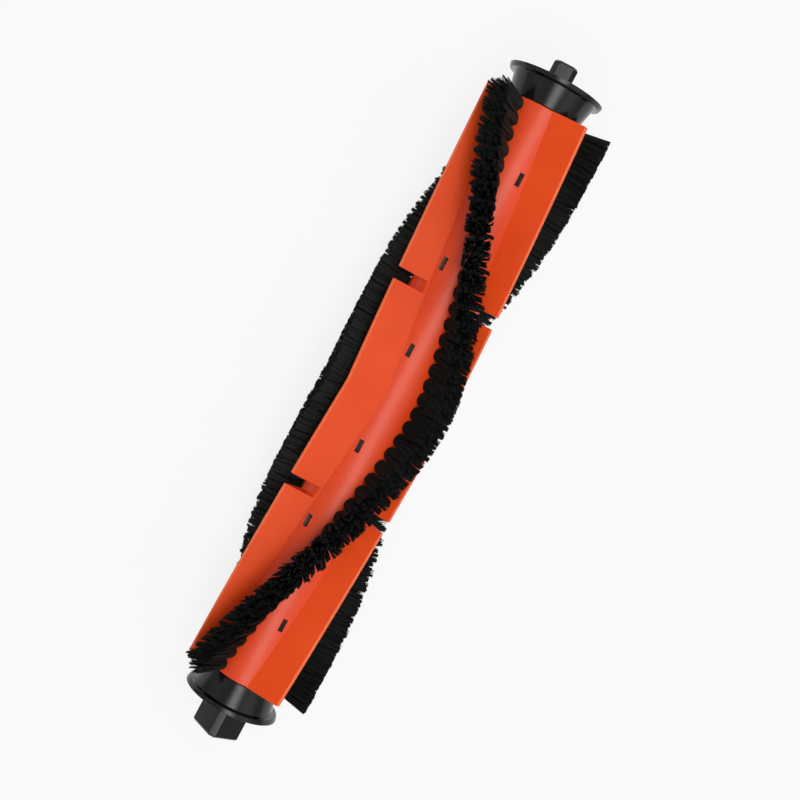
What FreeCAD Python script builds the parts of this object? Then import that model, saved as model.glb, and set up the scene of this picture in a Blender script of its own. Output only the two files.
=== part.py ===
import FreeCAD
import Part
import Sketcher
import math
import os

# Roller brush of a robot vacuum: an orange core that carries soft chevron fins and planted bristle
# rows between two black ends. X runs along the axis from the bearing end to the drive end, Z points
# up from the surface that the brush lies on, and the origin is below the middle of its length.
# Lengths are millimetres. Angles are degrees about the axis, from straight up towards -Y.

DRIVING_SIZES = [
    ("core_length", "148.8", "orange core, end face to end face"),
    ("core_radius", "8.8", "outside of the core"),
    ("bore_radius", "3.4", "hollow through the core"),
    ("fin_height", "5.9", "fin tip above the core"),
    ("fin_base_width", "5.8", "width of a fin where it leaves the core"),
    ("fin_tip_thickness", "1.0", "thickness of a fin at its tip"),
    ("fin_web", "0.4", "base band left between two flaps"),
    ("fin_base_mid_angle", "89.85", "middle of the base band, half way along the core"),
    ("fin_base_end_angle", "27.85", "middle of the base band, at the core's ends"),
    ("fin_tip_mid_angle", "69.05", "fin tip, half way along the core"),
    ("fin_tip_end_angle", "41.45", "fin tip, at the core's ends"),
    ("notch_width", "2.9", "slot between two flaps of a fin"),
    ("notch_offset", "26.55", "centre of a slot from the middle of the core"),
    ("row_sweep", "91.5", "angle that a bristle row runs through from middle to end"),
    ("row_bend", "7.5", "roundness of a bristle row's turn at the middle"),
    ("tuft_end_margin", "2.0", "last tuft's centre from the core's end"),
    ("tuft_length", "8.6", "bristle length above the core"),
    ("tuft_tip_gap", "0.3", "gap between neighbouring tufts at their tips"),
    ("tuft_tip_width", "5.3", "width of a tuft's tip across its row"),
    ("tuft_root_width", "0.9", "folded tuft over its anchor, across its row"),
    ("socket_floor", "0.8", "wall left between a socket and the bore"),
    ("anchor_width", "2.1", "wire anchor and the folded tuft on it, along the row"),
    ("anchor_height", "1.0", "wire anchor, from the socket's floor"),
    ("anchor_thickness", "0.5", "wire anchor, across the row"),
    ("window_length", "3.2", "clip window along the core"),
    ("window_width", "1.2", "clip window round the core"),
    ("window_depth", "3.0", "clip window into the core"),
    ("window_gap", "0.9", "core left between a window and the fin's base"),
    ("window_inner", "12.35", "inner windows from the middle of the core"),
    ("window_middle", "33.15", "middle windows from the middle of the core"),
    ("window_outer", "57.55", "outer windows from the middle of the core"),
    ("cone_length", "5.6", "cone of an end, core to flange"),
    ("cone_flare", "1.4", "rise of the cone over its length"),
    ("flange_radius", "11.9", "disc of an end"),
    ("flange_thickness", "1.2", "disc of an end"),
    ("spigot_length", "12.0", "how deep an end plugs into the core"),
    ("drive_key_width", "1.6", "key on the spigot"),
    ("drive_key_height", "0.8", "key above the spigot"),
    ("drive_key_length", "8.0", "key from the core's end"),
    ("drive_square", "5.9", "square drive across its flats"),
    ("drive_corner", "1.1", "chamfer on the square drive's corners"),
    ("drive_length", "5.0", "square drive beyond the flange"),
    ("drive_lead", "0.5", "lead-in chamfer on the drive's end"),
    ("drive_turn", "-4.65", "flat of the drive from straight up"),
    ("pin_radius", "1.5", "axle pin"),
    ("pin_depth", "15.6", "axle pin inside the bearing end, from the flange's back"),
    ("bush_wall", "1.0", "wall of the bearing bush"),
    ("cap_square", "9.5", "bearing cap across its flats"),
    ("cap_corner", "1.3", "chamfer on the bearing cap's corners"),
    ("cap_length", "8.3", "bearing cap along the axis"),
    ("cap_end_wall", "1.8", "closed end of the bearing cap"),
    ("cap_lead", "0.5", "lead-in chamfer on the cap's closed end"),
    ("cap_turn", "40.35", "flat of the cap from straight up"),
    ("running_clearance", "0.05", "pin to bush, round the pin"),
    ("fit_clearance", "0.05", "pressed and plugged pieces, round the joint"),
    ("end_float", "0.3", "bearing cap along the pin"),
]

SECTORS = 3
TUFTS_PER_ROW = 41
FIN_SPANS = 24
FIN_ROOT_SHARE = 0.2
OVERCUT = 1.0

doc = FreeCAD.newDocument("roller_brush")
sheet = doc.addObject("Spreadsheet::Sheet", "sizes")
for row, (alias, number, note) in enumerate(DRIVING_SIZES, start=1):
    sheet.set(f"A{row}", alias)
    sheet.set(f"B{row}", number)
    sheet.set(f"C{row}", note)
    sheet.setAlias(f"B{row}", alias)
doc.recompute()


class Size:
    """A length or an angle: its present value and the formula in the sheet's names that gives it."""

    def __init__(self, value, formula):
        self.value = value
        self.formula = formula

    def __add__(self, other):
        other = as_size(other)
        return Size(self.value + other.value, f"({self.formula} + {other.formula})")

    def __sub__(self, other):
        other = as_size(other)
        return Size(self.value - other.value, f"({self.formula} - {other.formula})")

    def __mul__(self, other):
        other = as_size(other)
        return Size(self.value * other.value, f"({self.formula} * {other.formula})")

    def __truediv__(self, other):
        other = as_size(other)
        return Size(self.value / other.value, f"({self.formula} / {other.formula})")

    def __neg__(self):
        return Size(-self.value, f"(-1 * {self.formula})")


def as_size(number):
    return number if isinstance(number, Size) else Size(number, repr(number))


def cosine(angle):
    return Size(math.cos(math.radians(angle.value)), f"cos({angle.formula})")


def sine(angle):
    return Size(math.sin(math.radians(angle.value)), f"sin({angle.formula})")


size = {alias: Size(float(sheet.get(alias)), f"sizes.{alias}") for alias, _, _ in DRIVING_SIZES}

# Places along the axis, counted from the middle of the core.
core_end = size["core_length"] / 2
flange_face = core_end + size["cone_length"]
flange_back = flange_face + size["flange_thickness"]
drive_end = flange_back + size["drive_length"]
cap_mouth = flange_back + size["end_float"]
cap_end = cap_mouth + size["cap_length"]
cap_floor = cap_end - size["cap_end_wall"]

# Radii from the axis, with the fits taken from the piece that sets them.
core_radius = size["core_radius"]
fin_reach = core_radius + size["fin_height"]
tuft_reach = core_radius + size["tuft_length"]
socket_base = size["bore_radius"] + size["socket_floor"]
tuft_base = socket_base + size["anchor_height"]
spigot_radius = size["bore_radius"] - size["fit_clearance"]
cone_radius = core_radius + size["cone_flare"]
pin_hole = size["pin_radius"] + size["fit_clearance"]
bush_bore = size["pin_radius"] + size["running_clearance"]
bush_radius = bush_bore + size["bush_wall"]

# The brush lies on the middle tufts of one row and the end tufts of the next, which stand this far
# to either side of straight down, and the whole length is centred over the origin.
rest_angle = Size(60.0, "60") - size["row_sweep"] / 2
axis_height = tuft_reach * cosine(rest_angle) + size["tuft_tip_width"] / 2 * sine(rest_angle)
core_middle = (cap_end - drive_end) / 2


def bind(piece, **formulas):
    for name, wanted in formulas.items():
        piece.setExpression(name.replace("_", "."), wanted.formula)


def seat(piece, along=None):
    """Puts a piece that was made about the X axis at the brush's own height and place."""
    along = core_middle if along is None else core_middle + along
    bind(piece, Placement_Base_x=along, Placement_Base_z=axis_height)
    return piece


def polar(x, radius, angle):
    turn = math.radians(angle)
    return FreeCAD.Vector(x, -radius * math.sin(turn), radius * math.cos(turn))


def rod(name, radius, start, end):
    """Plain cylinder along the axis."""
    piece = doc.addObject("Part::Cylinder", name)
    upright_to_axis = FreeCAD.Rotation(FreeCAD.Vector(0, 1, 0), 90)
    piece.Placement = FreeCAD.Placement(FreeCAD.Vector(), upright_to_axis)
    bind(piece, Radius=radius, Height=end - start)
    return seat(piece, start)


def cut(name, base, tool):
    piece = doc.addObject("Part::Cut", name)
    piece.Base = base
    piece.Tool = tool
    return piece


def shaped(name, solids):
    """Piece or cutting tool whose solids were worked out about the X axis."""
    piece = doc.addObject("Part::Feature", name)
    piece.Shape = solids[0] if len(solids) == 1 else Part.makeCompound(solids)
    place = FreeCAD.Vector(core_middle.value, 0, axis_height.value)
    piece.Placement = FreeCAD.Placement(place, FreeCAD.Rotation())
    return piece


def stacked(sections):
    """Solid with flat sides through a stack of outlines that have equally many corners."""
    faces = [Part.Face(Part.makePolygon(outline + outline[:1])) for outline in (sections[0], sections[-1])]
    for lower, upper in zip(sections, sections[1:]):
        for i in range(len(lower)):
            j = (i + 1) % len(lower)
            side = [lower[i], lower[j], upper[j], upper[i], lower[i]]
            faces.append(Part.Face(Part.makePolygon(side)))
    shell = Part.Shell(faces)
    shell.sewShape()
    solid = Part.Solid(shell)
    if solid.Volume < 0:
        solid.reverse()
    return solid


def outline(body, name, plane, corners, offset=None, turn=None):
    """Closed sketch on one of the body's planes, with every corner tied to the sheet."""
    sketch = body.newObject("Sketcher::SketchObject", name)
    support = next(f for f in body.Origin.OriginFeatures if f.Role == plane)
    sketch.AttachmentSupport = [(support, "")]
    sketch.MapMode = "FlatFace"
    if offset is not None:
        spin = FreeCAD.Rotation(FreeCAD.Vector(0, 0, 1), turn.value)
        sketch.AttachmentOffset = FreeCAD.Placement(FreeCAD.Vector(0, 0, offset.value), spin)
        bind(sketch, AttachmentOffset_Base_z=offset, AttachmentOffset_Rotation_Angle=turn)
    corners = [(as_size(x), as_size(y)) for x, y in corners]
    points = [FreeCAD.Vector(x.value, y.value, 0) for x, y in corners]
    for i, point in enumerate(points):
        sketch.addGeometry(Part.LineSegment(point, points[(i + 1) % len(points)]), False)
    for i in range(len(points)):
        sketch.addConstraint(Sketcher.Constraint("Coincident", i, 2, (i + 1) % len(points), 1))
    for i, (x, y) in enumerate(corners):
        tie_corner(sketch, i, "DistanceX", x)
        if y.value == 0:
            sketch.addConstraint(Sketcher.Constraint("PointOnObject", i, 1, -1))
        else:
            tie_corner(sketch, i, "DistanceY", y)
    return sketch


def tie_corner(sketch, corner, direction, distance):
    index = sketch.addConstraint(Sketcher.Constraint(direction, -1, 1, corner, 1, distance.value))
    name = f"{direction}{corner}"
    sketch.renameConstraint(index, name)
    sketch.setExpression(f"Constraints.{name}", distance.formula)


def turned(name, section):
    """Body of revolution about the axis, from the half section of the piece."""
    body = doc.addObject("PartDesign::Body", name)
    sketch = outline(body, f"{name}_section", "XY_Plane", section)
    revolution = body.newObject("PartDesign::Revolution", f"{name}_turning")
    revolution.Profile = sketch
    revolution.ReferenceAxis = (sketch, ["H_Axis"])
    revolution.Angle = 360
    doc.recompute()
    return seat(body)


def padded(body, name, corners, start, turn, length):
    """Straight block along +X with the given outline, added to a body."""
    sketch = outline(body, f"{name}_outline", "YZ_Plane", corners, start, turn)
    pad = body.newObject("PartDesign::Pad", name)
    pad.Profile = sketch
    bind(pad, Length=length)
    doc.recompute()
    return pad


def chamfered_square(across_flats, corner):
    """Eight corners of a square with its own corners cut off."""
    flat = across_flats / 2
    edge = flat - corner
    return [
        (flat, -edge),
        (flat, edge),
        (edge, flat),
        (-edge, flat),
        (-flat, edge),
        (-flat, -edge),
        (-edge, -flat),
        (edge, -flat),
    ]


def face_at(feature, sense):
    """Name of the flat end face that lies furthest along the axis, in the given sense."""
    faces = feature.Shape.Faces
    places = [sense * face.CenterOfMass.x for face in faces]
    return f"Face{places.index(max(places)) + 1}"


def broken_end(body, name, feature, sense, chamfer):
    """Chamfer round an end face."""
    edge = body.newObject("PartDesign::Chamfer", name)
    edge.Base = (feature, [face_at(feature, sense)])
    bind(edge, Size=chamfer)
    doc.recompute()
    return edge


# Fins: chevron wedges moulded round the core. The flat flanks run from the base band's edges to a
# thin tip, which follows a flatter chevron than the base does.


def between(middle, end, x):
    share = abs(x) / core_end.value
    return size[middle].value + (size[end].value - size[middle].value) * share


def band_edges(x):
    centre = between("fin_base_mid_angle", "fin_base_end_angle", x)
    half = math.degrees(size["fin_base_width"].value / 2 / core_radius.value)
    return centre - half, centre + half


def fin_section(x, turn):
    """Wedge across a fin, with its flanks carried on into the core."""
    middle = between("fin_tip_mid_angle", "fin_tip_end_angle", x)
    half_tip = math.degrees(size["fin_tip_thickness"].value / 2 / fin_reach.value)
    corners = []
    for edge, side in zip(band_edges(x), (-half_tip, half_tip)):
        base = polar(x, core_radius.value, edge + turn)
        tip = polar(x, fin_reach.value, middle + side + turn)
        corners.append((base + (base - tip) * FIN_ROOT_SHARE, tip))
    (left_root, left_tip), (right_root, right_tip) = corners
    return Part.makePolygon([left_root, left_tip, right_tip, right_root, left_root])


fin_stations = [core_end.value * (2 * i / FIN_SPANS - 1) for i in range(FIN_SPANS + 1)]
sector_turns = [360 / SECTORS * k for k in range(SECTORS)]
core_blank = rod("core_blank", core_radius, -core_end, core_end)


def notch_ring(name, centre):
    """Sleeve round the core that cuts one slot through every fin, down to its base band."""
    start = centre - size["notch_width"] / 2
    end = centre + size["notch_width"] / 2
    outside = rod(f"{name}_outside", fin_reach + OVERCUT, start, end)
    inside = rod(f"{name}_inside", core_radius + size["fin_web"], start, end)
    return cut(name, outside, inside)


notch_rings = doc.addObject("Part::Compound", "notch_rings")
notch_rings.Links = [
    notch_ring("bearing_side_notch", -size["notch_offset"]),
    notch_ring("drive_side_notch", size["notch_offset"]),
]

fin_strips = []
for number, turn in enumerate(sector_turns, start=1):
    wedge = Part.makeLoft([fin_section(x, turn) for x in fin_stations], True, True)
    fin_blank = cut(f"fin_blank_{number}", shaped(f"fin_wedge_{number}", [wedge]), core_blank)
    fin_strips.append(cut(f"fin_strip_{number}", fin_blank, notch_rings))

# Bristle rows: tufts planted at an even pitch on a rounded chevron line. Each tuft is folded over a
# flat wire anchor at the bottom of its socket and fans out from there to its tip.

last_tuft = core_end.value - size["tuft_end_margin"].value
tuft_pitch = 2 * last_tuft / (TUFTS_PER_ROW - 1)
tuft_places = [tuft_pitch * i - last_tuft for i in range(TUFTS_PER_ROW)]


def row_angle(x):
    bend = size["row_bend"].value
    share = (math.hypot(x, bend) - bend) / (math.hypot(last_tuft, bend) - bend)
    return size["row_sweep"].value * (0.5 - share)


def tuft_halves(radius):
    """Half length along the row and half width across it, at a distance from the axis."""
    share = (radius - tuft_base.value) / (tuft_reach.value - tuft_base.value)
    root_length = size["anchor_width"].value
    root_width = size["tuft_root_width"].value
    tip_length = tuft_pitch - size["tuft_tip_gap"].value
    length = root_length + (tip_length - root_length) * share
    width = root_width + (size["tuft_tip_width"].value - root_width) * share
    return length / 2, width / 2


def tuft_outline(x, radius, angle):
    half_length, half_width = tuft_halves(radius)
    middle = polar(x, radius, angle)
    across = polar(0, half_width, angle + 90)
    along = FreeCAD.Vector(half_length, 0, 0)
    return [middle + along + across, middle - along + across, middle - along - across, middle + along - across]


def tuft(x, turn):
    angle = row_angle(x) + turn
    return stacked([tuft_outline(x, radius.value, angle) for radius in (tuft_base, tuft_reach)])


def radial_block(x, angle, length, width, inner, outer):
    """Block along a radius, centred at a place on the axis."""
    corner = FreeCAD.Vector(x - length / 2, -width / 2, inner)
    block = Part.makeBox(length, width, outer - inner, corner)
    block.rotate(FreeCAD.Vector(), FreeCAD.Vector(1, 0, 0), angle)
    return block


def socket(x, turn):
    half_length, half_width = tuft_halves(core_radius.value)
    room = size["fit_clearance"].value
    length = 2 * (half_length + room)
    width = 2 * (half_width + room)
    mouth = core_radius.value + OVERCUT
    return radial_block(x, row_angle(x) + turn, length, width, socket_base.value, mouth)


def anchor(x, turn):
    width = size["anchor_width"].value
    thickness = size["anchor_thickness"].value
    return radial_block(x, row_angle(x) + turn, width, thickness, socket_base.value, tuft_base.value)


bristle_rows = []
tuft_anchors = []
sockets = []
for number, turn in enumerate(sector_turns, start=1):
    bristle_rows.append(shaped(f"bristle_row_{number}", [tuft(x, turn) for x in tuft_places]))
    tuft_anchors.append(shaped(f"tuft_anchors_{number}", [anchor(x, turn) for x in tuft_places]))
    sockets += [socket(x, turn) for x in tuft_places]
tuft_sockets = shaped("tuft_sockets", sockets)

# Core: a tube with the tufts' sockets, small windows beside the fins and a keyway in each end of its
# bore.


def window(x, angle):
    floor = core_radius.value - size["window_depth"].value
    mouth = core_radius.value + OVERCUT
    return radial_block(x, angle, size["window_length"].value, size["window_width"].value, floor, mouth)


def sector_windows(turn):
    """Outer windows lead the fin's base band, the others trail it, the same on both halves."""
    reach = size["window_gap"].value + size["window_width"].value / 2
    step = math.degrees(reach / core_radius.value)
    openings = []
    for half in (-1, 1):
        outer = half * size["window_outer"].value
        openings.append(window(outer, band_edges(outer)[0] - step + turn))
        for name in ("window_inner", "window_middle"):
            x = half * size[name].value
            openings.append(window(x, band_edges(x)[1] + step + turn))
    return openings


def key_block(name, start, end, clearance):
    """Block on top of the spigot, or the slot for it in the bore."""
    block = doc.addObject("Part::Box", name)
    width = size["drive_key_width"] + clearance * 2
    bind(block, Length=end - start, Width=width, Height=size["drive_key_height"] + spigot_radius + clearance)
    bind(block, Placement_Base_x=core_middle + start, Placement_Base_y=-width / 2)
    bind(block, Placement_Base_z=axis_height)
    return block


clip_windows = shaped("clip_windows", [w for turn in sector_turns for w in sector_windows(turn)])
keyways = doc.addObject("Part::Compound", "keyways")
key_reach = size["drive_key_length"] + size["fit_clearance"]
keyways.Links = [
    key_block("bearing_keyway", -core_end, key_reach - core_end, size["fit_clearance"]),
    key_block("drive_keyway", core_end - key_reach, core_end, size["fit_clearance"]),
]
core_bore = rod("core_bore", size["bore_radius"], -core_end, core_end)
core_tube = cut("core_tube", core_blank, core_bore)
keyed_tube = cut("keyed_tube", core_tube, keyways)
windowed_tube = cut("windowed_tube", keyed_tube, clip_windows)
core = cut("core", windowed_tube, tuft_sockets)


# Drive end: spigot, cone, disc and chamfered square in one moulding, keyed to the core.


def end_section(sense):
    """Half section of an end, from its spigot to its disc, for the drive end (1) or the other (-1)."""
    corners = [
        (core_end - size["spigot_length"], 0),
        (core_end - size["spigot_length"], spigot_radius),
        (core_end, spigot_radius),
        (core_end, core_radius),
        (flange_face, cone_radius),
        (flange_face, size["flange_radius"]),
        (flange_back, size["flange_radius"]),
        (flange_back, 0),
    ]
    return [(x if sense > 0 else -x, radius) for x, radius in corners]


drive_body = turned("drive_end_body", end_section(1))
drive_outline = chamfered_square(size["drive_square"], size["drive_corner"])
drive_pad = padded(
    drive_body, "square_drive", drive_outline, flange_back, size["drive_turn"], size["drive_length"]
)
drive_body.Tip = broken_end(drive_body, "drive_lead_in", drive_pad, 1, size["drive_lead"])
no_clearance = Size(0.0, "0")
drive_key = key_block("drive_key", core_end - size["drive_key_length"], core_end, no_clearance)
drive_end_cap = doc.addObject("Part::Fuse", "drive_end_cap")
drive_end_cap.Base = drive_body
drive_end_cap.Tool = drive_key

# Bearing end: the same spigot, cone and disc, bored for the axle pin.

pin_end = flange_back - size["pin_depth"]
bearing_body = turned("bearing_end_body", end_section(-1))
bearing_key = key_block("bearing_key", -core_end, size["drive_key_length"] - core_end, no_clearance)
bearing_plug = doc.addObject("Part::Fuse", "bearing_plug")
bearing_plug.Base = bearing_body
bearing_plug.Tool = bearing_key
pin_socket = rod("pin_socket", pin_hole, -flange_back - OVERCUT, -pin_end)
bearing_end_flange = cut("bearing_end_flange", bearing_plug, pin_socket)

# Bearing: the pin and the bush are turned pieces, and the cap is a chamfered square with a blind bore.

pin_tip = cap_floor - size["end_float"]
axle_pin = rod("axle_pin", size["pin_radius"], -pin_tip, -pin_end)
bearing_bush = turned(
    "bearing_bush",
    [(-cap_mouth, bush_bore), (-cap_mouth, bush_radius), (-cap_floor, bush_radius), (-cap_floor, bush_bore)],
)

bearing_cap = doc.addObject("PartDesign::Body", "bearing_cap")
cap_outline = chamfered_square(size["cap_square"], size["cap_corner"])
cap_block = padded(bearing_cap, "cap_block", cap_outline, -cap_end, size["cap_turn"], size["cap_length"])
cap_shell = broken_end(bearing_cap, "cap_lead_in", cap_block, -1, size["cap_lead"])
bore_section = outline(
    bearing_cap,
    "cap_bore_section",
    "XY_Plane",
    [
        (-cap_floor, 0),
        (-cap_floor, bush_radius + size["fit_clearance"]),
        (-cap_mouth, bush_radius + size["fit_clearance"]),
        (-cap_mouth, 0),
    ],
)
cap_bore = bearing_cap.newObject("PartDesign::Groove", "cap_bore")
cap_bore.Profile = bore_section
cap_bore.ReferenceAxis = (bore_section, ["H_Axis"])
cap_bore.Angle = 360
bearing_cap.Tip = cap_bore
seat(bearing_cap)

nodes = [core, drive_end_cap, bearing_end_flange, axle_pin, bearing_bush, bearing_cap]
nodes += fin_strips + bristle_rows + tuft_anchors

doc.recompute()
for piece in doc.Objects:
    if "Invalid" in piece.State or "Error" in piece.State:
        raise RuntimeError(f"{piece.Label} could not be made: {piece.State}")
for piece in nodes:
    if piece.Shape.isNull() or not piece.Shape.isValid():
        raise RuntimeError(f"{piece.Label} is not a valid shape")
if cap_bore.Shape.Volume >= cap_shell.Shape.Volume:
    raise RuntimeError("the bearing cap's bore removed nothing")

os.makedirs("parts", exist_ok=True)
for piece in nodes:
    piece.Shape.exportStep(f"parts/{piece.Label}.step")
    print(piece.Label, len(piece.Shape.Solids), round(piece.Shape.Volume, 1))
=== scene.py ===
# %% [markdown]
# # Roller brush of a robot vacuum
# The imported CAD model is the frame: it fixes every size and place, in metres. This lesson dresses
# it: a smooth orange core with clip windows, soft rubber fins, rows of single bristles and gloss
# black ends, seen from above as in a catalogue picture.

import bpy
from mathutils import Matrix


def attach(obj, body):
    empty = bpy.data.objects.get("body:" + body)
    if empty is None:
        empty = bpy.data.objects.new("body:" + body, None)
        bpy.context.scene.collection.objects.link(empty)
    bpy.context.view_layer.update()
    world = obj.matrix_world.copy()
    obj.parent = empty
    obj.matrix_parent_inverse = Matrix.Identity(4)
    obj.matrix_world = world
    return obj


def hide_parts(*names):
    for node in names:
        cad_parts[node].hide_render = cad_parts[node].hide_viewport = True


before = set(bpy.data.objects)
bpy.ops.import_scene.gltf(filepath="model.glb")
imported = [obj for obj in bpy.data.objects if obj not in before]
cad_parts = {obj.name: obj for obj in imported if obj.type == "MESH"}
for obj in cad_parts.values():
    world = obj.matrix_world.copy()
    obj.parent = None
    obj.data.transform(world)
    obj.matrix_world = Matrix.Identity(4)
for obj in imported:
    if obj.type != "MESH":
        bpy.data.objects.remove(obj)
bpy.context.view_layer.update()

# %% [markdown]
# ## Measures
# A roller is easiest to think of in its own terms: how far along the axis, how far from the axis,
# and at which angle round it. The angle counts from straight up towards the side of minus Y. One
# helper turns such a place into a point of the scene, and two others read a point back, so the rest
# of the script can stay in millimetres and degrees like a drawing.

# %% Sizes and the roller's own coordinates
import math
import random

import bmesh
import bpy
from mathutils import Matrix, Vector

MM = 0.001
AXIS_HEIGHT = 17.5169
CORE_MIDDLE = 1.8
CORE_END = 74.4
CORE_RADIUS = 8.8
SECTOR_TURNS = (0.0, 120.0, 240.0)


def polar(x, radius, angle):
    turn = math.radians(angle)
    across = -radius * math.sin(turn)
    up = AXIS_HEIGHT + radius * math.cos(turn)
    return Vector((x + CORE_MIDDLE, across, up)) * MM


def along_axis(point):
    return point.x / MM - CORE_MIDDLE


def from_axis(point):
    return (point - polar(0, 0, 0)).yz.length / MM


print("core from", polar(-CORE_END, 0, 0), "to", polar(CORE_END, 0, 0))

# %% [markdown]
# ## Camera
# The photograph looks down on the brush, a little from the drive end, with the axis leaning across
# the picture. Its view was solved from points on the ends, the fins and the windows, so the camera
# is built from those numbers: three angles, a distance, a small shift and a focal length. Building
# the rotation from three unit vectors avoids chains of Euler angles that are hard to read.

# %% Directions of the photograph's view
FACING_ANGLE = -4.65
LEAN_IN_PICTURE = math.radians(62.027)
TILT_TO_DRIVE = math.radians(4.529)

axis = Vector((1, 0, 0))
facing = (polar(0, 1, FACING_ANGLE) - polar(0, 0, 0)).normalized()
sideways = (polar(0, 1, FACING_ANGLE + 90) - polar(0, 0, 0)).normalized()
along = axis * math.cos(TILT_TO_DRIVE) - facing * math.sin(TILT_TO_DRIVE)
to_camera = axis * math.sin(TILT_TO_DRIVE) + facing * math.cos(TILT_TO_DRIVE)
picture_right = along * math.cos(LEAN_IN_PICTURE) + sideways * math.sin(LEAN_IN_PICTURE)
picture_up = along * math.sin(LEAN_IN_PICTURE) - sideways * math.cos(LEAN_IN_PICTURE)
print("towards the camera:", [round(v, 3) for v in to_camera])

# %% Camera at the photograph's viewing angle
CAMERA_DISTANCE = 316.88
PICTURE_SHIFT = (-2.216, -0.460)
FOCAL_PIXELS = 1357.32
PICTURE_WIDTH = 800
SENSOR_WIDTH = 36.0
NEAREST_SEEN = 10.0

eye = polar(0, 0, 0) + to_camera * CAMERA_DISTANCE * MM
eye = eye - picture_right * PICTURE_SHIFT[0] * MM + picture_up * PICTURE_SHIFT[1] * MM

camera_data = bpy.data.cameras.new("picture_camera")
camera_data.sensor_width = SENSOR_WIDTH
camera_data.lens = SENSOR_WIDTH * FOCAL_PIXELS / PICTURE_WIDTH
camera_data.clip_start = NEAREST_SEEN * MM
camera = bpy.data.objects.new("picture_camera", camera_data)
turning = Matrix((picture_right, picture_up, to_camera)).transposed().to_4x4()
camera.matrix_world = Matrix.Translation(eye) @ turning
bpy.context.scene.collection.objects.link(camera)
bpy.context.scene.camera = camera
print("camera at", [round(v, 4) for v in eye], "lens", round(camera_data.lens, 2))

# %% [markdown]
# ## Finishes
# Moulded plastic and rubber are never one flat colour: the pigment drifts a little, the gloss
# changes with the polish of the mould, and a fine grain breaks the highlights. One function makes
# all of these from three noise textures on Object coordinates: a slow one for the colour, a medium
# one for the gloss and a fine one for the bump. What is the same all over stays on the shader's
# own sockets. The steps that several finishes share come first, as small helpers.

# %% Helpers for shader nodes
def blank_material(name):
    material = bpy.data.materials.new(name)
    material.use_nodes = True
    return material


def add_node(tree, kind, numbers=None):
    """A new shader node, with numbers set on its own sockets."""
    node = tree.nodes.new("ShaderNode" + kind)
    for socket, number in (numbers or {}).items():
        node.inputs[socket].default_value = number
    return node


def add_noise(tree, place, scale, detail):
    noise = add_node(tree, "TexNoise", {"Scale": scale, "Detail": detail})
    tree.links.new(place, noise.inputs["Vector"])
    return noise.outputs["Fac"]


def add_colours(tree, value, dark, light, positions):
    ramp = add_node(tree, "ValToRGB")
    stops = ramp.color_ramp.elements
    for stop, colour, position in zip(stops, (dark, light), positions):
        stop.position = position
        stop.color = (*colour, 1.0)
    tree.links.new(value, ramp.inputs["Fac"])
    return ramp.outputs["Color"]


def add_range(tree, value, low, high):
    spread = add_node(tree, "MapRange", {"To Min": low, "To Max": high})
    tree.links.new(value, spread.inputs["Value"])
    return spread.outputs["Result"]


# %% A function for moulded finishes
PIGMENT_SCALE = 55.0
PIGMENT_STOPS = (0.3, 0.7)
POLISH_SCALE = 260.0
GRAIN_HEIGHT = 0.05


def moulded_finish(name, dark, light, roughness, grain, specular):
    """roughness is a range, grain the bump's size in millimetres and its strength."""
    material = blank_material(name)
    tree = material.node_tree
    shader = tree.nodes["Principled BSDF"]
    shader.inputs["Specular IOR Level"].default_value = specular
    place = add_node(tree, "TexCoord").outputs["Object"]

    pigment = add_noise(tree, place, PIGMENT_SCALE, detail=3.0)
    colour = add_colours(tree, pigment, dark, light, PIGMENT_STOPS)
    tree.links.new(colour, shader.inputs["Base Color"])

    polish = add_noise(tree, place, POLISH_SCALE, detail=4.0)
    tree.links.new(add_range(tree, polish, *roughness), shader.inputs["Roughness"])

    grain_size, grain_strength = grain
    surface = add_noise(tree, place, 1.0 / (grain_size * MM), detail=2.0)
    bump = add_node(tree, "Bump", {"Strength": grain_strength, "Distance": GRAIN_HEIGHT * MM})
    tree.links.new(surface, bump.inputs["Height"])
    tree.links.new(bump.outputs["Normal"], shader.inputs["Normal"])
    return material


print("the colour drifts over about", round(1 / PIGMENT_SCALE / MM), "mm")

# %% [markdown]
# The core is polished and the rubber of the fins is satin. Its thin rims are painted paler, a painted
# highlight that stands for light shining through the thin rubber. The ends are a gloss black that is
# almost free of pigment drift, the walls and floors of the windows are painted a dull dark colour, partly
# painted shade of these deep pockets and partly a dark inside behind them, and the nylon of the
# bristles hardly shines.

# %% The finishes of this brush
core_gloss = moulded_finish(
    "core_gloss", dark=(0.75, 0.054, 0.006), light=(0.83, 0.068, 0.009),
    roughness=(0.34, 0.44), grain=(1.2, 0.04), specular=0.45,
)
fin_rubber = moulded_finish(
    "fin_rubber", dark=(0.78, 0.064, 0.007), light=(0.86, 0.080, 0.010),
    roughness=(0.38, 0.48), grain=(0.5, 0.10), specular=0.14,
)
# Painted highlight: a paler colour for the rims of the fins, standing for light that shines through thin
# rubber
fin_rim_painted_highlight = moulded_finish(
    "fin_rim_painted_highlight", dark=(0.88, 0.14, 0.04), light=(0.94, 0.18, 0.06),
    roughness=(0.38, 0.48), grain=(0.5, 0.10), specular=0.30,
)
end_gloss = moulded_finish(
    "end_gloss", dark=(0.003, 0.003, 0.003), light=(0.005, 0.005, 0.005),
    roughness=(0.15, 0.20), grain=(0.8, 0.05), specular=0.40,
)
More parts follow.
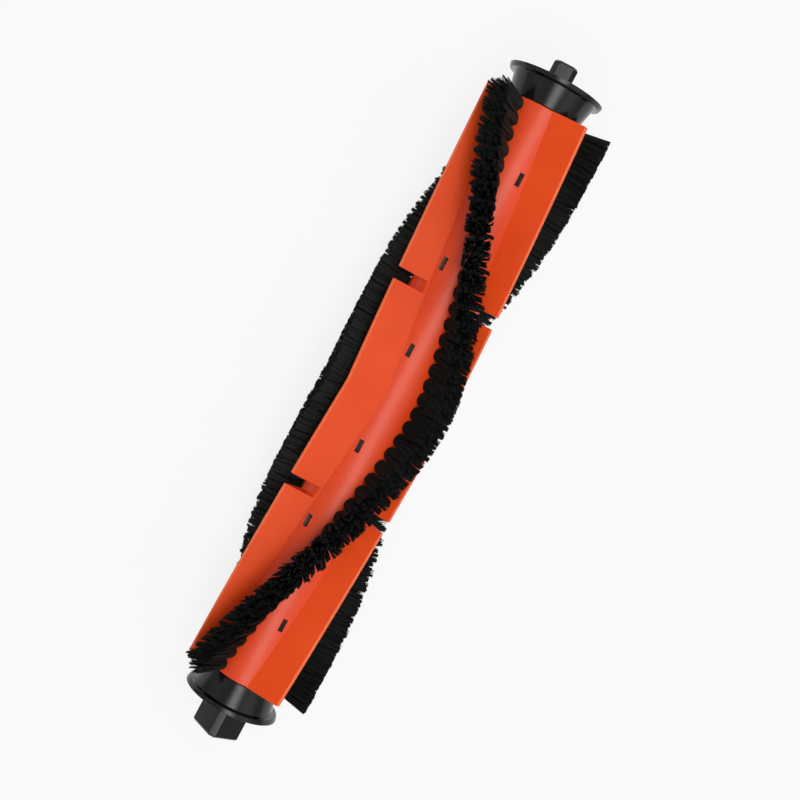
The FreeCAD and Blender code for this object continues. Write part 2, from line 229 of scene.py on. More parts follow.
# Painted shade: a dull dark colour for the windows' walls and floors, partly the shade in these deep
# pockets and partly a dark inside behind them
window_painted_shade = moulded_finish(
    "window_painted_shade", dark=(0.15, 0.12, 0.10), light=(0.21, 0.17, 0.14),
    roughness=(0.5, 0.6), grain=(0.6, 0.1), specular=0.2,
)
nylon_black = moulded_finish(
    "nylon_black", dark=(0.010, 0.012, 0.011), light=(0.020, 0.024, 0.022),
    roughness=(0.60, 0.75), grain=(0.3, 0.05), specular=0.15,
)
moulded = (core_gloss, fin_rubber, fin_rim_painted_highlight, end_gloss, window_painted_shade, nylon_black)
print("finishes:", [finish.name for finish in moulded])

# %% [markdown]
# Metal parts sit inside the ends and the sockets. A drawn or turned metal shows fine lines round or
# along it, so its noise is stretched by a Mapping node before it drives the colour and the
# roughness. The bush is sintered and has an even grain, so its stretch is the same all ways. The CAD
# nodes of these parts have the right shape, so they stay and only get a finish.

# %% A function for drawn and turned metal
LINES_SCALE = 900.0


def drawn_metal(name, dark, light, roughness, stretch):
    material = blank_material(name)
    tree = material.node_tree
    shader = tree.nodes["Principled BSDF"]
    shader.inputs["Metallic"].default_value = 1.0
    place = add_node(tree, "TexCoord").outputs["Object"]
    pull = add_node(tree, "Mapping", {"Scale": stretch})
    tree.links.new(place, pull.inputs["Vector"])
    lines = add_noise(tree, pull.outputs["Vector"], LINES_SCALE, detail=3.0)
    colour = add_colours(tree, lines, dark, light, positions=(0.0, 1.0))
    tree.links.new(colour, shader.inputs["Base Color"])
    tree.links.new(add_range(tree, lines, *roughness), shader.inputs["Roughness"])
    return material


pin_steel = drawn_metal(
    "pin_steel", dark=(0.42, 0.42, 0.43), light=(0.62, 0.62, 0.64),
    roughness=(0.22, 0.38), stretch=(0.2, 1.0, 1.0),
)
bush_bronze = drawn_metal(
    "bush_bronze", dark=(0.42, 0.24, 0.09), light=(0.58, 0.36, 0.15),
    roughness=(0.38, 0.55), stretch=(1.0, 1.0, 1.0),
)
anchor_brass = drawn_metal(
    "anchor_brass", dark=(0.55, 0.36, 0.10), light=(0.72, 0.50, 0.18),
    roughness=(0.25, 0.40), stretch=(1.0, 0.3, 0.3),
)
print("metals:", [finish.name for finish in (pin_steel, bush_bronze, anchor_brass)])

# %% Finishes of the inner parts
INNER_FINISHES = {
    "axle_pin": pin_steel,
    "bearing_bush": bush_bronze,
    "tuft_anchors_1": anchor_brass,
    "tuft_anchors_2": anchor_brass,
    "tuft_anchors_3": anchor_brass,
}
for node, finish in INNER_FINISHES.items():
    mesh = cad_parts[node].data
    mesh.materials.clear()
    mesh.materials.append(finish)
print("inner pieces:", sorted(INNER_FINISHES))

# %% [markdown]
# ## Finishing a piece
# Every new piece ends the same way: its mesh becomes an object at the origin with its finishes,
# smooth faces meet at sharp edges where they turn by more than a set angle, it is parented to an
# empty for the body it moves with, and the CAD nodes it stands for are hidden. A weighted normal
# modifier keeps large flats flat beside their fine roundings, which gloss black shows at once.

# %% From bmesh to a piece of the brush
def finish_piece(name, bm, body, replaced, materials, sharp_angle=32.0, flats=True):
    mesh = bpy.data.meshes.new(name)
    bm.to_mesh(mesh)
    bm.free()
    for material in materials:
        mesh.materials.append(material)
    mesh.shade_smooth()
    mesh.set_sharp_from_angle(angle=math.radians(sharp_angle))
    piece = bpy.data.objects.new(name, mesh)
    bpy.context.scene.collection.objects.link(piece)
    if flats:
        shading = piece.modifiers.new("flats_stay_flat", "WEIGHTED_NORMAL")
        shading.keep_sharp = True
    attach(piece, body)
    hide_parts(*replaced)
    mesh.calc_loop_triangles()
    print(name, "triangles", len(mesh.loop_triangles))


# %% [markdown]
# Some work on a mesh comes again and again: measuring how sharply it turns at an edge, rounding its
# edges, slicing it along a plane, picking the long edges of a box, and picking the corners out of
# what an operator has made. Forms that are shaped one by one, such as a fin's flaps or a row's tufts,
# are kept as plain meshes until they are joined into their piece.

# %% Helpers for meshes
# In the units of the mesh at hand
CUT_SNAP = 0.0001


def edge_turn(edge):
    """Degrees by which the surface turns at an edge, and 0 where the surface ends."""
    return math.degrees(edge.calc_face_angle(0))


def bevel(bm, edges, size, segments, clamp=False):
    """Cuts or rounds edges by a size in millimetres, and gives the new faces."""
    made = bmesh.ops.bevel(
        bm, geom=edges, offset=size * MM, segments=segments, profile=0.5, affect="EDGES", material=-1,
        clamp_overlap=clamp,
    )
    return made["faces"]


def slice_through(bm, point, normal):
    everything = bm.verts[:] + bm.edges[:] + bm.faces[:]
    bmesh.ops.bisect_plane(bm, geom=everything, dist=CUT_SNAP, plane_co=point, plane_no=normal)


def edges_along(bm):
    """The edges of a box that run along X."""
    return [edge for edge in bm.edges if abs(edge.verts[0].co.x - edge.verts[1].co.x) > CUT_SNAP]


def corners_of(made):
    return [item for item in made["geom"] if isinstance(item, bmesh.types.BMVert)]


def to_scrap(bm):
    """Turns a bmesh into a mesh that is only kept until it is joined to its piece."""
    scrap = bpy.data.meshes.new("scrap")
    bm.to_mesh(scrap)
    bm.free()
    return scrap


def join_scrap(bm, scrap):
    bm.from_mesh(scrap)
    bpy.data.meshes.remove(scrap)


# %% [markdown]
# ## Core
# The core is a glossy moulded tube with small rectangular windows beside the fins. Cutting
# rectangles into a tube is awkward, but cutting them into a flat sheet is easy: the wall is laid
# out flat, sliced along the windows' edges, the window faces are pushed in, and then the sheet is
# rolled up round the axis and its seam is welded.

# %% Where the chevrons run
FIN_BASE = (89.85, 27.85)
FIN_BASE_WIDTH = 5.8


def chevron(x, middle_and_end):
    """Angle at a place along the axis, running straight from the middle to either end."""
    middle, end = middle_and_end
    return middle + (end - middle) * abs(x) / CORE_END


def band_edge(x, side):
    """Angle of a fin's base at its one or other edge, side being -1 or 1."""
    half = math.degrees(FIN_BASE_WIDTH / 2 / CORE_RADIUS)
    return chevron(x, FIN_BASE) + side * half


print("fin base at the middle:", round(band_edge(0, -1), 1), round(band_edge(0, 1), 1))

# %% Window places on the flat sheet
WINDOW_LENGTH = 3.2
WINDOW_WIDTH = 1.2
WINDOW_GAP = 0.9
# Distance from the middle, and the side of the fin that the window lies on
WINDOW_PLACES = ((12.35, 1), (33.15, 1), (57.55, -1))
GIRTH = 2 * math.pi * CORE_RADIUS


def on_sheet(angle):
    """Distance round the core, from 0 to its full girth."""
    return angle % 360 / 360 * GIRTH


windows = []
for turn in SECTOR_TURNS:
    for place, side in WINDOW_PLACES:
        for x in (-place, place):
            step = side * math.degrees((WINDOW_GAP + WINDOW_WIDTH / 2) / CORE_RADIUS)
            windows.append((x, on_sheet(band_edge(x, side) + step + turn)))
print("windows:", len(windows))

# %% Flat sheet, sliced along the windows' edges
STEPS_ALONG = 8
STEPS_ROUND = 168

bm = bmesh.new()
bmesh.ops.create_grid(bm, x_segments=STEPS_ALONG, y_segments=STEPS_ROUND, size=1.0)
bmesh.ops.scale(bm, vec=(CORE_END, GIRTH / 2, 1.0), verts=bm.verts)
bmesh.ops.translate(bm, vec=(0, GIRTH / 2, 0), verts=bm.verts)

cuts = {(round(x + s * WINDOW_LENGTH / 2, 4), 0) for x, _ in windows for s in (-1, 1)}
cuts |= {(round(y + s * WINDOW_WIDTH / 2, 4), 1) for _, y in windows for s in (-1, 1)}
for place, direction in sorted(cuts):
    point = [0, 0, 0]
    normal = [0, 0, 0]
    point[direction] = place
    normal[direction] = 1
    slice_through(bm, point, normal)
print("slices:", len(cuts), "sheet faces:", len(bm.faces))

# %% Windows pushed in, with painted shade on their walls and floors
WINDOW_DEPTH = 3.0
BELOW_WALL = -0.01


def in_a_window(middle):
    return any(
        abs(middle.x - x) < WINDOW_LENGTH / 2 and abs(middle.y - y) < WINDOW_WIDTH / 2 for x, y in windows
    )


openings = [face for face in bm.faces if in_a_window(face.calc_center_median())]
pushed = bmesh.ops.extrude_face_region(bm, geom=openings)
bmesh.ops.translate(bm, vec=(0, 0, -WINDOW_DEPTH), verts=corners_of(pushed))
bmesh.ops.delete(bm, geom=[face for face in openings if face.is_valid], context="FACES_ONLY")
# Painted shade: the pockets' walls and floors take the second, dark slot, which stands partly for shade
# in these deep pockets and partly for a dark inside behind them
for face in bm.faces:
    face.material_index = 1 if face.calc_center_median().z < BELOW_WALL else 0
print("sheet faces:", len(bm.faces), "dark faces:", sum(face.material_index for face in bm.faces))

# %% Rolled up, welded and closed at the ends
BORE_RADIUS = 3.4
WELD = 0.001


def at_core_end(x):
    return abs(abs(x) - CORE_END) < WELD


end_rims = [
    edge for edge in bm.edges if edge.is_boundary and all(at_core_end(v.co.x) for v in edge.verts)
]
end_faces = bmesh.ops.extrude_edge_only(bm, edges=end_rims)
bmesh.ops.translate(bm, vec=(0, 0, BORE_RADIUS - CORE_RADIUS), verts=corners_of(end_faces))
for vert in bm.verts:
    vert.co = polar(vert.co.x, CORE_RADIUS + vert.co.z, vert.co.y / GIRTH * 360)
bmesh.ops.remove_doubles(bm, verts=bm.verts, dist=WELD * MM)
bore_mouths = [edge for edge in bm.edges if edge.is_boundary]
bmesh.ops.bridge_loops(bm, edges=bore_mouths)
bmesh.ops.recalc_face_normals(bm, faces=bm.faces)
print("core faces:", len(bm.faces), "open edges:", sum(edge.is_boundary for edge in bm.edges))

# %% Rounded ends
MOULD_ROUNDING = 0.25
END_EDGE_TURN = 57.0
RADIUS_SLACK = 0.1


def on_outer_end(point):
    return at_core_end(along_axis(point)) and from_axis(point) > CORE_RADIUS - RADIUS_SLACK


end_edges = [
    edge for edge in bm.edges
    if edge_turn(edge) > END_EDGE_TURN and all(on_outer_end(v.co) for v in edge.verts)
]
bevel(bm, end_edges, MOULD_ROUNDING, segments=3)
finish_piece("core_shell", bm, "roller", ["core"], [core_gloss, window_painted_shade])

# %% [markdown]
# ## Fins
# Each fin is a soft rubber wedge in three flaps on a common base band. Its flanks are flat from the
# base to a thin tip, and base and tip follow chevrons of different steepness, so the wedge leans
# one way at the middle and the other way at the ends. A cube is cut into slices along its length,
# and then every corner is moved to its place between base and tip. The bevel comes last, in real
# millimetres, and rounds the rims. The bevel's faces on the flaps are painted a paler colour, a
# painted highlight that stands for the light rim lines of thin rubber, through which light passes.

# %% Places on a wedge
FIN_TIP = (69.05, 41.45)
FIN_HEIGHT = 5.9
FIN_TIP_THICKNESS = 0.7


def wedge_point(x, side, height, turn):
    """side runs from -1 to 1 across the wedge, height from 0 at the core to 1 at the tip."""
    if height < 0:
        return polar(x, CORE_RADIUS + height * FIN_HEIGHT, band_edge(x, side) + turn)
    half_tip = math.degrees(FIN_TIP_THICKNESS / 2 / (CORE_RADIUS + FIN_HEIGHT))
    base = polar(x, CORE_RADIUS, band_edge(x, side) + turn)
    tip = polar(x, CORE_RADIUS + FIN_HEIGHT, chevron(x, FIN_TIP) + side * half_tip + turn)
    return base.lerp(tip, height)


print("tip of a fin:", wedge_point(0, 0, 1, 0))

# %% A wedge between two places on the axis
SLICE_LENGTH = 2.0
RIM_ROUNDING = 0.32
RIM_EDGE_TURN = 34.0


def wedge(start, end, low, high, turn, rim_highlight_slot):
    """Mesh of a wedge from start to end along the axis, low and high being shares of its height."""
    bm = bmesh.new()
    bmesh.ops.create_cube(bm, size=1.0)
    bmesh.ops.scale(bm, vec=(end - start, 2.0, high - low), verts=bm.verts)
    bmesh.ops.translate(bm, vec=((start + end) / 2, 0, (low + high) / 2), verts=bm.verts)
    # An even number of slices puts a cut on the middle, where the chevron turns
    slices = 2 * round((end - start) / SLICE_LENGTH / 2)
    bmesh.ops.subdivide_edges(bm, edges=edges_along(bm), cuts=slices - 1, use_grid_fill=True)
    slice_through(bm, (0, 0, 0), (0, 0, 1))
    for vert in bm.verts:
        vert.co = wedge_point(vert.co.x, vert.co.y, vert.co.z, turn)
    bmesh.ops.recalc_face_normals(bm, faces=bm.faces)
    clear_radius = CORE_RADIUS + RADIUS_SLACK
    clear = [edge for edge in bm.edges if all(from_axis(v.co) > clear_radius for v in edge.verts)]
    rims = [edge for edge in clear if edge_turn(edge) > RIM_EDGE_TURN]
    # Painted highlight: the rounded rim faces take the slot given here, 1 being the paler rim colour
    for face in bevel(bm, rims, RIM_ROUNDING, segments=3, clamp=True):
        face.material_index = rim_highlight_slot
    return to_scrap(bm)


# %% Three fins of three flaps
FIN_ROOT = 1.2
BAND_HEIGHT = 0.4
NOTCH_OFFSET = 26.55
NOTCH_WIDTH = 2.9
FLAPS = (
    (-CORE_END, -NOTCH_OFFSET - NOTCH_WIDTH / 2),
    (-NOTCH_OFFSET + NOTCH_WIDTH / 2, NOTCH_OFFSET - NOTCH_WIDTH / 2),
    (NOTCH_OFFSET + NOTCH_WIDTH / 2, CORE_END),
)
root = -FIN_ROOT / FIN_HEIGHT
band_top = BAND_HEIGHT / FIN_HEIGHT
fin_finishes = [fin_rubber, fin_rim_painted_highlight]
for number, turn in enumerate(SECTOR_TURNS, start=1):
    bm = bmesh.new()
    for start, end in FLAPS:
        # The flaps get the painted rim highlight on their bevels, and the band does not
        join_scrap(bm, wedge(start, end, root, 1.0, turn, rim_highlight_slot=1))
    join_scrap(bm, wedge(-CORE_END, CORE_END, root, band_top, turn, rim_highlight_slot=0))
    finish_piece(f"soft_fin_{number}", bm, "roller", [f"fin_strip_{number}"], fin_finishes)

# %% [markdown]
# ## Bristles
# A row is a line of planted tufts. Every tuft leaves its hole as a round bundle, which gives the row
# its toothed foot. Its neighbours hold it in along the row, so its tips fill a cell of the row: a
# little over one pitch long, and as wide as the bundle fans out. A bristle is a thin three-sided cone
# from its place in the round foot to its place in the cell. Bristles cling together, so the tips of a
# tuft are drawn into small clumps, each with its own lean and length, which gives the row its spiky
# fringe. A few different tufts are made once and planted in random order, each turned to follow the
# row, and no tip passes one radius because the real brush is trimmed after planting.

# %% Where the rows run
TUFTS_PER_ROW = 41
LAST_TUFT = 72.4
ROW_SWEEP = 91.5
ROW_BEND = 7.5
TRIM_RADIUS = 17.4
PITCH = 2 * LAST_TUFT / (TUFTS_PER_ROW - 1)


def row_angle(x):
    """Angle of a tuft, on a chevron with a rounded turn at the middle."""
    share = (math.hypot(x, ROW_BEND) - ROW_BEND) / (math.hypot(LAST_TUFT, ROW_BEND) - ROW_BEND)
    return ROW_SWEEP * (0.5 - share)


def row_slant(x):
    """Radians by which the row turns from the axis at the tufts' tips, taken over one millimetre."""
    change = math.radians(row_angle(x + 0.5) - row_angle(x - 0.5))
    return math.atan(TRIM_RADIUS * change)


print("row from", round(row_angle(0), 1), "to", round(row_angle(LAST_TUFT), 1), "pitch", PITCH)

# %% A single bristle
BRISTLE_ROOT = 0.12
BRISTLE_TIP = 0.06

bm = bmesh.new()
bmesh.ops.create_cone(
    bm, cap_ends=True, cap_tris=False, segments=3, radius1=BRISTLE_ROOT, radius2=BRISTLE_TIP, depth=2.0
)
hidden_cap = min(bm.faces, key=lambda face: face.calc_center_median().z)
bmesh.ops.delete(bm, geom=[hidden_cap], context="FACES_ONLY")
bristle = to_scrap(bm)
print("faces of a bristle:", len(bristle.polygons))

# %% Places and clumps in a tuft
RIM_SHARE = 0.35
RIM_START = 0.93
CLUMP_LEAN_ALONG = 0.25
CLUMP_LEAN_ACROSS = 0.22
CLUMP_SHORTENING = 0.16

chance = random.Random(41)


def place_in_tuft():
    """Place on a square from -1 to 1, often close to its edge, where a tuft is seen."""
    u = chance.uniform(-1, 1)
    v = chance.uniform(-1, 1)
    if chance.random() < RIM_SHARE:
        edge = chance.choice((-1, 1)) * chance.uniform(RIM_START, 1.0)
        u, v = chance.choice(((u, edge), (edge, v)))
    return u, v


def make_clump():
    """Place, lean and shortening of one clump of tips."""
    u, v = place_in_tuft()
    lean_along = chance.gauss(0, CLUMP_LEAN_ALONG)
    lean_across = chance.gauss(0, CLUMP_LEAN_ACROSS)
    shortening = abs(chance.gauss(0, CLUMP_SHORTENING))
    return u, v, lean_along, lean_across, shortening


# %% A bristle at its place in a tuft
FOOT_RADIUS = 1.52
FOOT_DEPTH = 0.6
TIP_ACROSS = 3.15
TIP_ALONG = 0.62 * PITCH
CLUMP_PULL = 0.55
TIP_STRAY = 0.18
TIP_SHORTENING = 0.12


def add_bristle(bm, clumps):
    """One bristle of a tuft that stands on the origin along Z, in millimetres."""
    u, v = place_in_tuft()
    # The square is drawn in to a circle at the foot
    foot = Vector((u * math.sqrt(1 - v * v / 2), v * math.sqrt(1 - u * u / 2), 0)) * FOOT_RADIUS
    foot.z = -FOOT_DEPTH
    clump = min(clumps, key=lambda c: (c[0] - u) ** 2 + (c[1] - v) ** 2)
    clump_u, clump_v, lean_along, lean_across, shortening = clump
    u += CLUMP_PULL * (clump_u - u)
    v += CLUMP_PULL * (clump_v - v)
    stray = chance.gauss(0, TIP_STRAY)
    tip = Vector((u * TIP_ALONG + lean_along + stray, v * TIP_ACROSS + lean_across, 0))
    trim = TRIM_RADIUS - shortening - abs(chance.gauss(0, TIP_SHORTENING))
    tip.z = math.sqrt(trim**2 - tip.y**2) - CORE_RADIUS
    before = len(bm.verts)
    bm.from_mesh(bristle)
    bm.verts.ensure_lookup_table()
    for vert in bm.verts[before:]:
        end = tip if vert.co.z > 0 else foot
        vert.co = end + Vector((vert.co.x, vert.co.y, 0))


# %% Different tufts
BRISTLES_PER_TUFT = 640
CLUMPS_PER_TUFT = 48
TUFT_KINDS = 10

tufts = []
for _ in range(TUFT_KINDS):
    clumps = [make_clump() for _ in range(CLUMPS_PER_TUFT)]
    bm = bmesh.new()
    for _ in range(BRISTLES_PER_TUFT):
        add_bristle(bm, clumps)
    tufts.append(to_scrap(bm))
print("tufts made:", len(tufts), "corners each:", len(tufts[0].vertices))

# %% Rows of planted tufts
BRISTLE_SHARP_ANGLE = 60.0


def plant(bm, tuft, x, angle, slant):
    """Adds a copy of a tuft to the row, standing on the core and turned along the row."""
    foot = polar(x, CORE_RADIUS, angle)
    outward = (foot - polar(x, 0, angle)).normalized()
    stand = Matrix((axis, outward.cross(axis), outward)).transposed().to_4x4()
    planted = tuft.copy()
    planted.transform(
        Matrix.Translation(foot) @ stand @ Matrix.Rotation(-slant, 4, "Z") @ Matrix.Scale(MM, 4)
    )
    join_scrap(bm, planted)


for number, turn in enumerate(SECTOR_TURNS, start=1):
    bm = bmesh.new()
    for tuft_number in range(TUFTS_PER_ROW):
        x = PITCH * tuft_number - LAST_TUFT
        tuft = tufts[chance.randrange(TUFT_KINDS)]
        plant(bm, tuft, x, row_angle(x) + turn, row_slant(x))
    # No tip reaches below the ground that the brush lies on
    for vert in bm.verts:
        vert.co.z = max(vert.co.z, 0.0)
    finish_piece(
        f"bristles_{number}", bm, "roller", [f"bristle_row_{number}"], [nylon_black],
        sharp_angle=BRISTLE_SHARP_ANGLE, flats=False,
    )
for mesh in tufts + [bristle]:
    bpy.data.meshes.remove(mesh)

# %% [markdown]
# ## Ends
# Both ends are turned shapes: a plug inside the core, a cone that flares up to a thin disc, and the
# disc's rim. Spinning half a section round the axis makes them in one go. Their corners are rounded
# afterwards, because a gloss black rim is only seen by the light that its rounding catches.

# %% Sections of the two ends
CONE_FLARE = 1.4
CONE_LENGTH = 5.6
FLANGE_RADIUS = 11.9
FLANGE_THICKNESS = 1.2
RIM_TAPER = 0.5
PLUG_LENGTH = 12.0
PLUG_RADIUS = 3.35
PIN_HOLE = 1.55
PIN_DEPTH = 15.6
FLANGE_START = CORE_END + CONE_LENGTH
FLANGE_END = FLANGE_START + FLANGE_THICKNESS
END_SECTION = (
    (CORE_END - PLUG_LENGTH, 0),
    (CORE_END - PLUG_LENGTH, PLUG_RADIUS),
    (CORE_END, PLUG_RADIUS),
    (CORE_END, CORE_RADIUS),
    (FLANGE_START, CORE_RADIUS + CONE_FLARE),
    (FLANGE_START, FLANGE_RADIUS - RIM_TAPER),
    (FLANGE_END, FLANGE_RADIUS),
)
DRIVE_SECTION = END_SECTION + ((FLANGE_END, 0),)
BEARING_SECTION = END_SECTION + (
    (FLANGE_END, PIN_HOLE),
    (FLANGE_END - PIN_DEPTH, PIN_HOLE),
    (FLANGE_END - PIN_DEPTH, 0),
)
print("discs end at", FLANGE_END, "mm from the core's middle")

# %% A spun end
SPIN_STEPS = 144
SPUN_EDGE_TURN = 29.0


def spun_end(section, sense):
    """Turned end on the side given by sense, 1 for the drive and -1 for the bearing."""
    bm = bmesh.new()
    points = [bm.verts.new(polar(sense * x, radius, 0)) for x, radius in section]
    for first, second in zip(points, points[1:]):
        bm.edges.new((first, second))
    bmesh.ops.spin(
        bm, geom=bm.verts[:] + bm.edges[:], cent=polar(0, 0, 0), axis=axis, angle=2 * math.pi,
        steps=SPIN_STEPS, use_merge=True,
    )
    bmesh.ops.remove_doubles(bm, verts=bm.verts, dist=WELD * MM)
    bmesh.ops.recalc_face_normals(bm, faces=bm.faces)
    rims = [edge for edge in bm.edges if edge_turn(edge) > SPUN_EDGE_TURN]
    bevel(bm, rims, MOULD_ROUNDING, segments=4, clamp=True)
    return bm


# %% [markdown]
# The drive is a stubby square with cut corners and a lead-in, and the bearing cap at the other end is
# a larger one that stands on its corner. Both come from one function: a cube, a wide bevel of one
# segment along its four long edges for the cut corners, a small one round its end, and a fine
# rounding over every edge that is left.

# %% Squares with cut corners
LEAD_IN = 0.5
SQUARE_ROUNDING = 0.12
SQUARE_EDGE_TURN = 17.0


def square_block(start, end, across_flats, corner, turn, sense):
    """Block along the axis, its outer end at end, on the side given by sense."""
    bm = bmesh.new()
    bmesh.ops.create_cube(bm, size=1.0)
    bmesh.ops.scale(bm, vec=Vector((end - start, across_flats, across_flats)) * MM, verts=bm.verts)
    bevel(bm, edges_along(bm), corner, segments=1)
    outer = max(vert.co.x for vert in bm.verts)
    end_edges = [edge for edge in bm.edges if all(outer - v.co.x < WELD * MM for v in edge.verts)]
    bevel(bm, end_edges, LEAD_IN, segments=1)
    remaining_edges = [edge for edge in bm.edges if edge_turn(edge) > SQUARE_EDGE_TURN]
    bevel(bm, remaining_edges, SQUARE_ROUNDING, segments=2, clamp=True)
    place = Matrix.Translation(polar(sense * (start + end) / 2, 0, 0))
    place = place @ Matrix.Rotation(math.radians(turn), 4, "X")
    if sense < 0:
        place = place @ Matrix.Rotation(math.pi, 4, "Z")
    bmesh.ops.transform(bm, matrix=place, verts=bm.verts)
    return bm


# %% The drive end and the bearing end
DRIVE_SQUARE = 5.9
DRIVE_LENGTH = 5.0
DRIVE_ROOT = 0.6
DRIVE_CORNER = 1.1
DRIVE_TURN = -4.65

drive_start = FLANGE_END - DRIVE_ROOT
drive_stop = FLANGE_END + DRIVE_LENGTH
drive = to_scrap(square_block(drive_start, drive_stop, DRIVE_SQUARE, DRIVE_CORNER, DRIVE_TURN, 1))
bm = spun_end(DRIVE_SECTION, 1)
join_scrap(bm, drive)
finish_piece("drive_end_moulding", bm, "roller", ["drive_end_cap"], [end_gloss])

bm = spun_end(BEARING_SECTION, -1)
finish_piece("bearing_end_moulding", bm, "roller", ["bearing_end_flange"], [end_gloss])

# %% [markdown]
# The cap is not solid: it turns on the axle pin by a bush pressed into a hole in its mouth. The mouth
# face is taken out, a circle is set into its place, both outlines are bridged, and the circle is
# drawn into the cap as the hole's wall and closed by a floor.

# %% Bearing cap with its hole
CAP_SQUARE = 9.5
CAP_LENGTH = 8.3
CAP_CORNER = 1.3
CAP_TURN = 40.35
CAP_FLOAT = 0.3
CAP_HOLE = 2.6
CAP_HOLE_DEPTH = 6.5
HOLE_SEGMENTS = 48

cap_mouth = FLANGE_END + CAP_FLOAT
bm = square_block(cap_mouth, cap_mouth + CAP_LENGTH, CAP_SQUARE, CAP_CORNER, CAP_TURN, -1)
bm.normal_update()
mouth = max(bm.faces, key=lambda face: face.normal.dot(axis) * face.calc_area())
outline = mouth.edges[:]
bmesh.ops.delete(bm, geom=[mouth], context="FACES_ONLY")
facing_along = Matrix.Translation(polar(-cap_mouth, 0, 0)) @ Matrix.Rotation(math.pi / 2, 4, "Y")
circle = bmesh.ops.create_circle(bm, segments=HOLE_SEGMENTS, radius=CAP_HOLE * MM, matrix=facing_along)
hole_rim = [edge for edge in bm.edges if all(vert in circle["verts"] for vert in edge.verts)]
bmesh.ops.bridge_loops(bm, edges=outline + hole_rim)
wall = bmesh.ops.extrude_edge_only(bm, edges=hole_rim)
bmesh.ops.translate(bm, vec=-axis * CAP_HOLE_DEPTH * MM, verts=corners_of(wall))
bmesh.ops.edgeloop_fill(bm, edges=[edge for edge in bm.edges if edge.is_boundary])
bmesh.ops.recalc_face_normals(bm, faces=bm.faces)
finish_piece("bearing_cap_moulding", bm, "cap", ["bearing_cap"], [end_gloss])

# %% [markdown]
# ## Floor and light
# The brush lies on a white sweep that fades into a pale grey backdrop: gloss black ends then show a
# white floor close by and darker sides, as they do in a studio. The floor answers the camera and
# mirrored rays with its own white for the most part, and keeps a share of real diffuse white so that
# the soft shadow under the brush stays. Far out, its glow and that diffuse share add up to the grey
# of the world behind it, so no horizon shows.

# %% Floor
FLOOR_REACH = 4000.0
FLOOR_HEIGHT = -0.2

floor_mesh = bpy.data.meshes.new("floor")
bm = bmesh.new()
bmesh.ops.create_grid(bm, x_segments=1, y_segments=1, size=FLOOR_REACH * MM)
bm.to_mesh(floor_mesh)
bm.free()
floor = bpy.data.objects.new("floor", floor_mesh)
floor.location.z = FLOOR_HEIGHT * MM
bpy.context.scene.collection.objects.link(floor)
print("floor at", FLOOR_HEIGHT, "mm")

# %% Rays that see the background
def add_seen_rays(tree):
    """1 for rays from the camera, a mirror or glass, and 0 for rays that carry light."""
    rays = add_node(tree, "LightPath")
    seen = rays.outputs["Is Camera Ray"]
    for kind in ("Is Glossy Ray", "Is Transmission Ray"):
        either = add_node(tree, "Math")
        either.operation = "MAXIMUM"
        tree.links.new(seen, either.inputs[0])
        tree.links.new(rays.outputs[kind], either.inputs[1])
        seen = either.outputs["Value"]
    return seen


# %% White sweep that keeps the shadow
PAPER = (0.80, 0.80, 0.80, 1.0)
WHITE_REACH = 160.0
GREY_START = 360.0
FAR_GLOW = 0.43
GLOW_SHARE = 0.84

sweep = blank_material("white_sweep")
tree = sweep.node_tree
tree.nodes.remove(tree.nodes["Principled BSDF"])
paper = add_node(tree, "BsdfDiffuse", {"Color": PAPER})
place = add_node(tree, "TexCoord")
outward = add_node(tree, "VectorMath")
outward.operation = "LENGTH"
fade = add_node(tree, "MapRange", {
    "From Min": WHITE_REACH * MM, "From Max": GREY_START * MM, "To Min": 1.0, "To Max": FAR_GLOW,
})
fade.interpolation_type = "SMOOTHSTEP"
glow = add_node(tree, "Emission")
share = add_node(tree, "Math", {1: GLOW_SHARE})
share.operation = "MULTIPLY"
blend = add_node(tree, "MixShader")
tree.links.new(place.outputs["Object"], outward.inputs[0])
tree.links.new(outward.outputs["Value"], fade.inputs["Value"])
tree.links.new(fade.outputs["Result"], glow.inputs["Strength"])
tree.links.new(add_seen_rays(tree), share.inputs[0])
tree.links.new(share.outputs["Value"], blend.inputs["Fac"])
tree.links.new(paper.outputs["BSDF"], blend.inputs[1])
tree.links.new(glow.outputs["Emission"], blend.inputs[2])
tree.links.new(blend.outputs["Shader"], tree.nodes["Material Output"].inputs["Surface"])
floor_mesh.materials.append(sweep)
print("white to", WHITE_REACH, "mm and grey from", GREY_START, "mm")

# %% [markdown]
# A softbox above the brush, a little to its right, lays one soft highlight along the core and lights
# the faces that look at the camera. Like a real softbox it is brightest along its middle and fades
# towards its long edges, which gloss black shows as a soft band: a lamp's Parametric coordinate runs
# from 0 to 1 across it, and folded at one half it gives the distance from the nearer edge. A glow of 2
# at the middle keeps the mean at 1. Two large, weak boxes at the sides keep the flanks of rows and fins
# open. The world fills the shadows at a low level and shows the camera and mirrored rays the same pale
# grey in which the floor ends.

# %% Softboxes
HALF_WIDTH = 0.5
MIDDLE_GLOW = 2.0


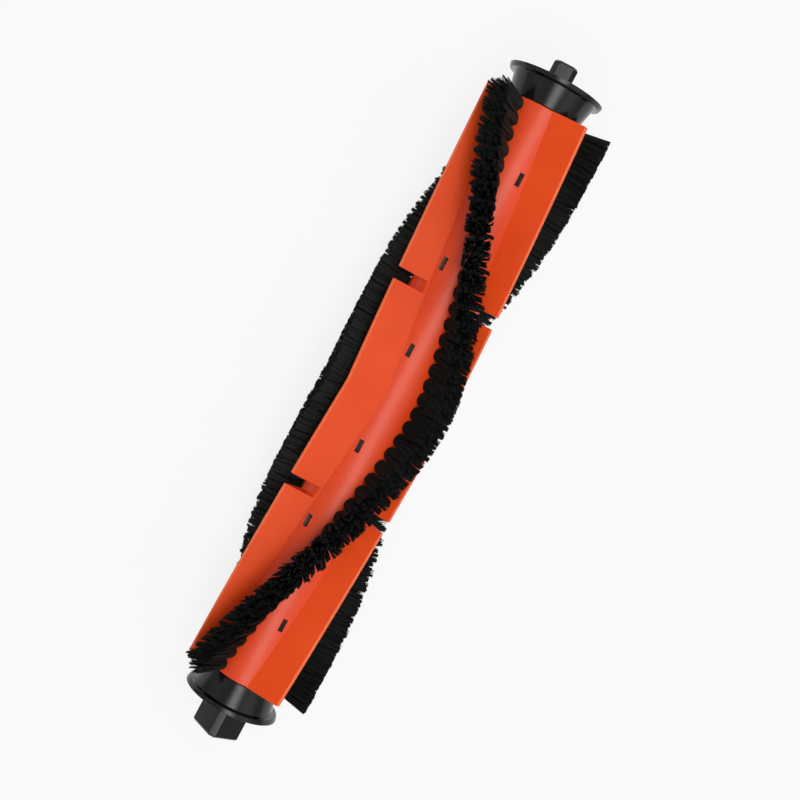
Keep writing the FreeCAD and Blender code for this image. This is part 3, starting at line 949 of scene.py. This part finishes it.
def soft_box(name, turn, distance, length, width, level):
    """Lamp along the brush, turned round the axis from the camera's side towards picture right.

    level is how bright it makes a white face that looks at it.
    """
    data = bpy.data.lights.new(name, "AREA")
    data.shape = "RECTANGLE"
    data.size = length * MM
    data.size_y = width * MM
    data.energy = level * (math.pi * distance * MM) ** 2
    data.use_nodes = True
    tree = data.node_tree
    on_lamp = add_node(tree, "NewGeometry")
    split = add_node(tree, "SeparateXYZ")
    from_edge = add_node(tree, "Math", {1: HALF_WIDTH})
    from_edge.operation = "PINGPONG"
    glow = add_node(tree, "MapRange", {"From Max": HALF_WIDTH, "To Max": MIDDLE_GLOW})
    glow.interpolation_type = "SMOOTHSTEP"
    tree.links.new(on_lamp.outputs["Parametric"], split.inputs["Vector"])
    tree.links.new(split.outputs["Y"], from_edge.inputs[0])
    tree.links.new(from_edge.outputs["Value"], glow.inputs["Value"])
    tree.links.new(glow.outputs["Result"], tree.nodes["Emission"].inputs["Strength"])
    outward = facing * math.cos(math.radians(turn)) + sideways * math.sin(math.radians(turn))
    stand = Matrix((axis, outward.cross(axis), outward)).transposed().to_4x4()
    lamp = bpy.data.objects.new(name, data)
    lamp.matrix_world = Matrix.Translation(polar(0, 0, 0) + outward * distance * MM) @ stand
    bpy.context.scene.collection.objects.link(lamp)
    print(name, "power", round(data.energy, 2))


soft_box("top_box", turn=11, distance=520, length=860, width=390, level=0.90)
soft_box("right_box", turn=52, distance=620, length=900, width=800, level=0.18)
soft_box("left_box", turn=-45, distance=620, length=900, width=800, level=0.05)

# %% World
FILL = 0.24
BACKDROP = 0.40

world = bpy.data.worlds.new("studio")
world.use_nodes = True
bpy.context.scene.world = world
tree = world.node_tree
room = tree.nodes["Background"]
room.inputs["Color"].default_value = (1.0, 1.0, 1.0, 1.0)
tree.links.new(add_range(tree, add_seen_rays(tree), FILL, BACKDROP), room.inputs["Strength"])
bpy.context.scene.view_settings.view_transform = "Standard"
print("the world fills at", FILL, "and shows", BACKDROP)
